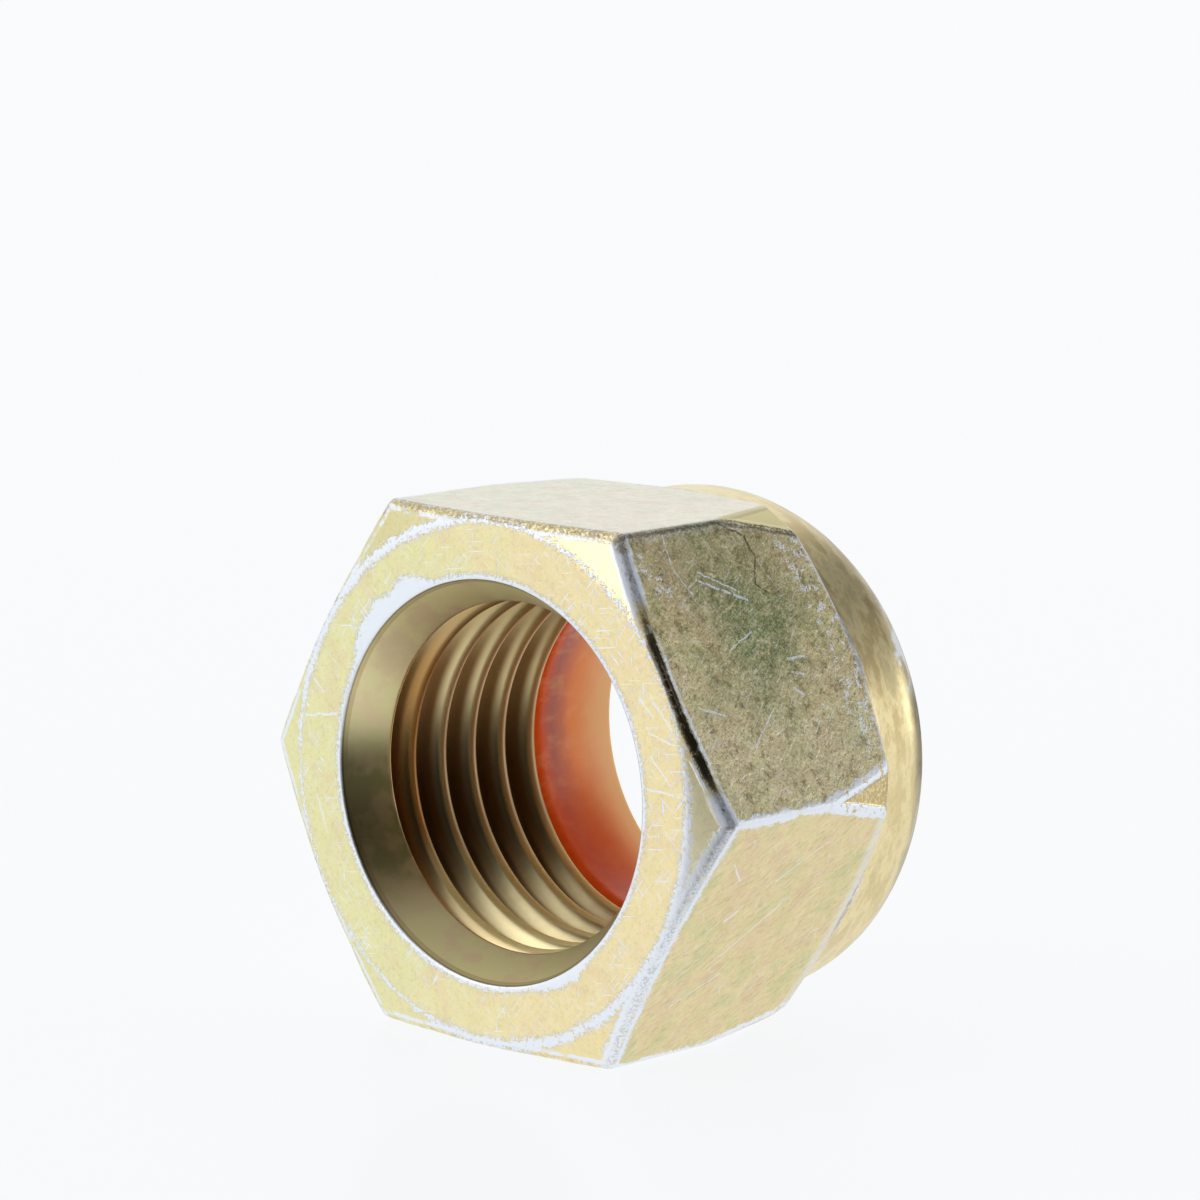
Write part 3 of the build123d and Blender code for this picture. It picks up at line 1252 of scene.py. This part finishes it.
        # dark pits and a dark band along the front edges
        holes = mul(step(s.edge_gap, 0.55, 0.25), step(g.add(s.grit, mul(s.fine, 0.7)), 0.84, 0.98))
        thick = g.add(0.04, mul(band(at.along, -1.6, 4.2, 3.4), 0.34))
        gap = g.add(s.edge_gap, mul(s.ragged, 0.30), mul(g.sub(s.sand, 0.5), 0.5))
        groove = mul(step(g.sub(gap, thick), 0.12, -0.10), step(s.dust, 0.28, 0.42))
        upper_side = mul(at.upper_flat, step(at.corner, -0.2, 0.4))
        pits = mul(s.by_edge, g.most(mul(holes, 0.35), mul(upper_side, groove)))
        # painted shade in the shoulder's corner
        crease_shade = mul(band(at.y, 19.15, 0.10, 0.35), step(at.radius, 17.3, 17.6), step(s.fine, 0.35, 0.55))
        by_corner = mul(s.torn_band(at.corner, 0.30, 0.34, 0.08, 0.12), step(at.y, 12.5, 10.5))
        by_taper = mul(s.torn_band(s.taper_gap, 0.30, 0.20, 0.08, 0.12), step(at.y, 10, 12))
        soiled = mul(g.most(by_corner, by_taper), s.upper_edge, s.upper, step(s.grit, 0.38, 0.50))
        top = mul(step(s.edge_gap, 0.75, 0.35), step(s.sand, 0.40, 0.56))
        coat.lay(self.brown_gold, s.on_top_edge, top, 0.75)
        # painted shadow line on the upper flat
        shadow_line = self.marks(g, self.shadow_line_marks, at.flat_spot, s.upper)
        coat.lay(self.grime_and_shade, shadow_line, step(s.sand, 0.42, 0.50), 0.85)
        coat.lay(self.grime_and_shade, g.most(mul(pits, 0.8), mul(crease_shade, 0.5), mul(soiled, 0.75)))
        return pits

    def material(self) -> bpy.types.Material:
        """Build the finish.

        Returns:
            The material.
        """
        made, g = new_material(self.name)
        s = SteelSurface(g)
        at, step, mul = s.at, g.step, g.mul
        coat = self.tints(s)
        self.upper_stain(s, coat)
        crest, root = self.hole(s, coat)
        self.collar(s, coat)
        coat.lay(self.brown_gold, s.on_face, step(s.grit, 0.34, 0.27), step(s.fine, 0.48, 0.60), 0.7)
        # the face's band among these is partly a painted highlight
        wear = (self.face_wear_and_highlight, self.front_wear, self.side_wear, self.far_wear, self.lip_wear)
        worn = g.most(*(part(s) for part in wear))
        marked = self.scratches(s)
        specks = mul(step(s.grit, 0.66, 0.72), step(s.fine, 0.45, 0.60), g.add(0.25, s.on_face))
        bare = g.most(worn, mul(marked, 0.85), mul(specks, 0.6))
        coat.lay(self.zinc, bare)
        pits = self.dirt_and_shade(s, coat)
        relief = g.add(
            mul(s.fine, g.add(0.006, mul(s.on_flat, 0.012), mul(s.upper, 0.036), mul(worn, 0.02))),
            mul(s.sand, g.add(0.0015, mul(s.on_flat, 0.006), mul(s.upper, 0.012))),
            mul(s.grain, g.add(mul(s.on_flat, 0.003), mul(s.upper, 0.022))),
            mul(s.grit, g.add(0.0012, mul(s.on_flat, 0.002), mul(worn, 0.004))),
            mul(s.broad, s.on_flat, 0.10),
            mul(marked, -0.006),
            mul(pits, -0.02),
        )
        cone = mul(s.in_bore, g.sub(1.0, s.threaded))
        middle = g.band(at.along, -1.8, 4.4, 1.6)
        lit_end = mul(s.by_edge, at.upper_flat, step(s.edge_gap, 0.75, 0.55), g.sub(1.0, middle))
        rough = g.add(
            0.262,
            mul(cone, at.z, at.z, 0.00182),
            mul(crest, g.add(0.22, mul(step(at.z, -5.0, -9.0), 0.35))),
            mul(s.corner_facet, s.upper_edge, 0.25),
            mul(s.fine, 0.08),
            mul(s.on_flat, 0.05),
            mul(bare, 0.12),
            mul(root, 0.08),
            mul(lit_end, 0.30),
        )
        g.surface(coat.colour, rough, relief, {"Metallic": 1.0})
        return made


@dataclass(frozen=True)
class Nylon:
    """Translucent orange-red nylon, with painted shade darkening its cut edge, a painted sheen, a painted
    glow towards the back and painted shade towards the bottom.
    """

    name: str = "orange_nylon"
    edge: Colour = (0.80, 0.11, 0.008, 1.0)
    rose_sheen: Colour = (0.50, 0.16, 0.12, 1.0)
    orange: Colour = (0.95, 0.33, 0.09, 1.0)
    pale: Colour = (1.0, 0.60, 0.27, 1.0)
    deep_shade: Colour = (0.60, 0.07, 0.003, 1.0)
    spread: tuple[float, float, float] = (3.0 * MM, 1.2 * MM, 0.6 * MM)

    def material(self) -> bpy.types.Material:
        """Build the finish.

        Returns:
            The material.
        """
        made, g = new_material(self.name)
        at = Site(g)
        nut = NutBody()
        streak = at.around(g, 14.0, 0.8)
        wavy = g.add(at.y, g.mul(g.sub(g.noise(at.place, 0.5, 2), 0.5), 1.2))
        length = (nut.lip_underside - nut.seat_floor) / MM
        depth = g.math("DIVIDE", g.sub(wavy, nut.seat_floor / MM), length)
        # painted shade at the cut edge, a painted pinkish sheen behind it, and paler with a painted glow
        # towards the back
        colour = g.ramp(depth, [(0.08, self.edge), (0.24, self.rose_sheen), (0.50, self.orange), (0.85, self.pale)])
        coat = Coat(g, colour)
        coat.lay(self.pale, g.step(g.noise(streak, 0.7, 3), 0.45, 0.7), 0.25)
        # painted shade towards the bottom of the ring
        coat.lay(self.deep_shade, g.step(at.z, -1.0, -8.0), g.step(at.y, 26.0, 21.5), 0.8)
        others = {
            "Subsurface Weight": 0.5,
            "Subsurface Radius": self.spread,
            "Subsurface Scale": 1.0,
            "Specular IOR Level": 0.28,
            # painted glow: the ring gives off light of its own colour, standing in for light through the
            # nylon
            "Emission Strength": 0.17,
            "Emission Color": coat.colour,
        }
        rough = g.add(0.24, g.mul(g.noise(at.place, 1.5, 3), 0.14))
        g.surface(coat.colour, rough, g.mul(g.noise(streak, 1.6, 2), 0.02), others)
        return made


def dress(piece: bpy.types.Object, material: bpy.types.Material) -> None:
    """Give a piece one finish all over.

    Args:
        piece: the mesh object.
        material: its finish.
    """
    piece.data.materials.clear()
    piece.data.materials.append(material)


# ---------------------------------------------------------------- the studio


@dataclass(frozen=True)
class Patch:
    """Soft round part of the surroundings that is darker or lighter than the rest.

    It lies in the direction towards; the change is full up to the inner angle and gone at the outer
    one, both in degrees.
    """

    towards: tuple[float, float, float]
    inner: float
    outer: float
    change: float


@dataclass(frozen=True)
class Lamp:
    """Soft square lamp that faces the nut, its place and side in metres, its power in watts."""

    name: str
    place: tuple[float, float, float]
    side: float
    power: float

    def hang(self) -> None:
        """Add the lamp to the scene."""
        data = bpy.data.lights.new(self.name, "AREA")
        data.size, data.energy = self.side, self.power
        made = bpy.data.objects.new(self.name, data)
        made.location = self.place
        made.rotation_euler = Vector(self.place).to_track_quat("Z", "Y").to_euler()
        bpy.context.scene.collection.objects.link(made)


@dataclass
class Studio:
    """White table and backdrop, soft lights and the camera."""

    # camera
    azimuth: float = 41.78
    elevation: float = 9.49
    roll: float = 0.98
    distance: float = 396.0 * MM
    aim: tuple[float, float, float] = (-2.01 * MM, -0.30 * MM, 28.68 * MM)
    lens: float = 173.97
    sensor: float = 36.0
    nearest: float = 0.01
    farthest: float = 20.0
    # table: its sheet, and the even light that it gives off
    table_size: float = 8.0
    table_drop: float = 0.02 * MM
    sheet: Colour = (0.90, 0.91, 0.92, 1.0)
    sheet_roughness: float = 0.20
    table_light: Colour = (0.972, 0.984, 1.0, 1.0)
    light_seen: float = 0.90
    light_mirrored: float = 0.96
    unlit_level: float = 0.03
    behind_loss: float = 0.62
    # surroundings
    room_light: Colour = (0.975, 0.985, 1.0, 1.0)
    room_level: float = 1.0
    patches: tuple[Patch, ...] = (
        Patch((0.74, -0.19, 0.645), 14, 44, -0.95),
        Patch((0.32, 0.74, 0.60), 8, 32, -0.60),
        Patch((0.02, 0.88, 0.47), 6, 24, -0.55),
        Patch((-0.62, -0.53, 0.58), 6, 22, 0.8),
        Patch((0.10, 0.0, 1.0), 14, 42, -0.35),
        Patch((0.97, -0.22, 0.06), 12, 34, -0.75),
        Patch((0.42, -0.84, 0.25), 30, 50, -0.96),
    )
    lamps: tuple[Lamp, ...] = (
        Lamp("front_softbox", (-0.37, -0.89, 0.26), 0.27, 0.46),
        Lamp("side_softbox", (0.40, 0.90, 0.12), 0.22, 0.30),
    )

    def camera(self) -> None:
        """Place the camera and make it the scene's."""
        turn, rise = math.radians(self.azimuth), math.radians(self.elevation)
        back = Vector((math.sin(turn) * math.cos(rise), -math.cos(turn) * math.cos(rise), math.sin(rise)))
        data = bpy.data.cameras.new("camera")
        data.lens, data.sensor_width = self.lens, self.sensor
        data.clip_start, data.clip_end = self.nearest, self.farthest
        made = bpy.data.objects.new("camera", data)
        bpy.context.scene.collection.objects.link(made)
        level = back.to_track_quat("Z", "Y").to_matrix().to_4x4()
        tilt = Matrix.Rotation(math.radians(self.roll), 4, Axis.Z.value)
        made.matrix_world = Matrix.Translation(Vector(self.aim) + back * self.distance) @ level @ tilt
        bpy.context.scene.camera = made

    def table(self) -> None:
        """Glossy white table that runs out to the horizon and darkens away from the lights."""
        deselect()
        bpy.ops.mesh.primitive_plane_add(size=self.table_size, location=(0, 0, -self.table_drop))
        floor = bpy.context.object
        floor.name = "table"
        made, g = new_material("white_table")
        x, y, _ = g.node("ShaderNodeSeparateXYZ", (g.node("ShaderNodeTexCoord").outputs["Object"],)).outputs
        aside = g.sub(g.mul(x, 0.98), g.mul(y, 0.16))
        apart = g.math("SQRT", g.add(g.mul(x, x), g.mul(y, y)))
        unlit = g.mul(g.step(aside, 0.016, 0.034), g.step(apart, 0.022, 0.066), g.step(y, 0.020, -0.03))
        behind = g.mul(g.step(y, 0.07, 0.11), g.step(x, -0.13, -0.07), g.step(x, 0.07, 0.03))
        level = g.mul(g.blend(unlit, 1.0, self.unlit_level), g.sub(1.0, g.mul(behind, self.behind_loss)))
        path = g.node("ShaderNodeLightPath").outputs
        seen, mirrored = path["Is Camera Ray"], path["Is Glossy Ray"]
        light = g.node("ShaderNodeEmission", (self.table_light, g.blend(seen, level, 1.0)))
        sheet = g.node("ShaderNodeBsdfPrincipled")
        sheet.inputs["Base Color"].default_value = self.sheet
        sheet.inputs["Roughness"].default_value = self.sheet_roughness
        share = g.most(g.mul(seen, self.light_seen), g.mul(mirrored, self.light_mirrored))
        g.finish(g.node("ShaderNodeMixShader", (share, sheet.outputs[0], light.outputs[0])).outputs[0])
        dress(floor, made)

    def surroundings(self) -> None:
        """White room with darker and lighter patches."""
        world = bpy.data.worlds.new("studio")
        bpy.context.scene.world = world
        world.use_nodes = True
        g = Graph(world.node_tree)
        way = g.node("ShaderNodeTexCoord").outputs["Generated"]
        level: object = self.room_level
        for patch in self.patches:
            towards = tuple(Vector(patch.towards).normalized())
            near = g.vector_math("DOT_PRODUCT", way, towards).outputs["Value"]
            lobe = g.step(near, math.cos(math.radians(patch.outer)), math.cos(math.radians(patch.inner)))
            level = g.mul(level, g.add(1.0, g.mul(lobe, patch.change)))
        seen = g.node("ShaderNodeLightPath").outputs["Is Camera Ray"]
        glow = g.node("ShaderNodeBackground", (self.room_light, g.blend(seen, level, 1.0)))
        g.node("ShaderNodeOutputWorld", (glow.outputs[0],))

    def build(self) -> None:
        """Set up the whole studio."""
        self.camera()
        self.table()
        self.surroundings()
        for lamp in self.lamps:
            lamp.hang()
        bpy.context.scene.view_settings.view_transform = "Standard"


def main() -> None:
    """Build the nut, dress it and set the studio."""
    logging.basicConfig(level=logging.INFO, format="%(name)s: %(message)s")
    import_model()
    nut = NutBody()
    body = nut.build()
    ring = NylonRing().build(nut)
    dress(body, PlatedSteel().material())
    dress(ring, Nylon().material())
    Studio().build()


if __name__ == "__main__":
    main()
